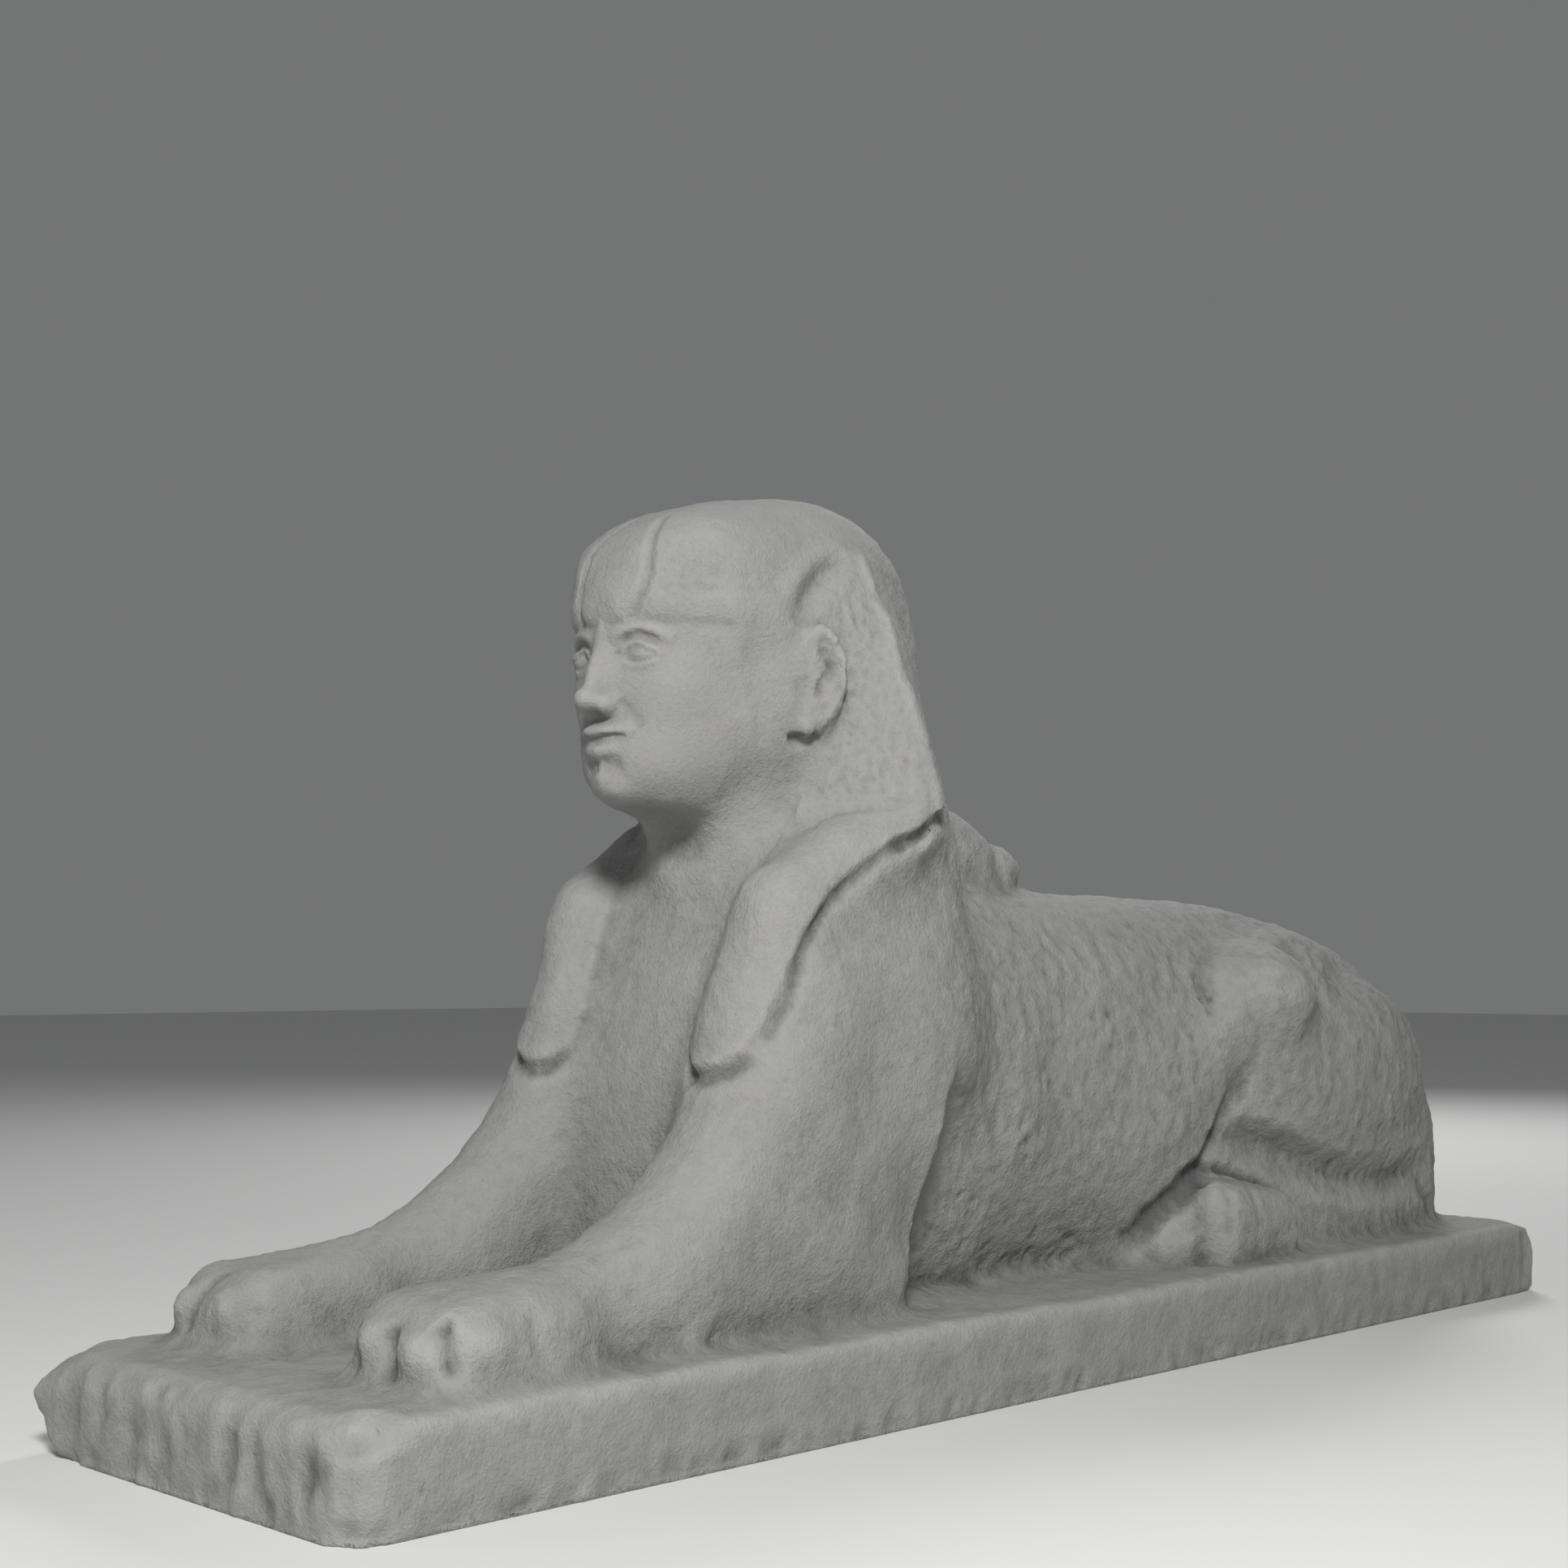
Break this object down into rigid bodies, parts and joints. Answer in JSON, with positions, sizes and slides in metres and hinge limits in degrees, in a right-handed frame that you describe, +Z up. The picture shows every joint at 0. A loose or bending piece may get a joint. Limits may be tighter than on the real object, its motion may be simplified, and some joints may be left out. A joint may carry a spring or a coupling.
{
  "type": "sphinx statue",
  "caption": "Recumbent stone sphinx: lion's body with a head in a plain headcloth, carved in one block with its low rectangular plinth.",
  "frame": {"origin": "bottom centre of the bounding box, on the flat bed of the plinth", "axes": "+Z up, -Y the way the figure faces, +X its left flank"},
  "size_m": [0.4, 1.518, 0.7433],
  "materials": {
    "stone": "worn, finely pitted grey stone, matt all over"
  },
  "bodies": {
    "root": {"sphinx_statue": "stone"}
  },
  "joints": []
}
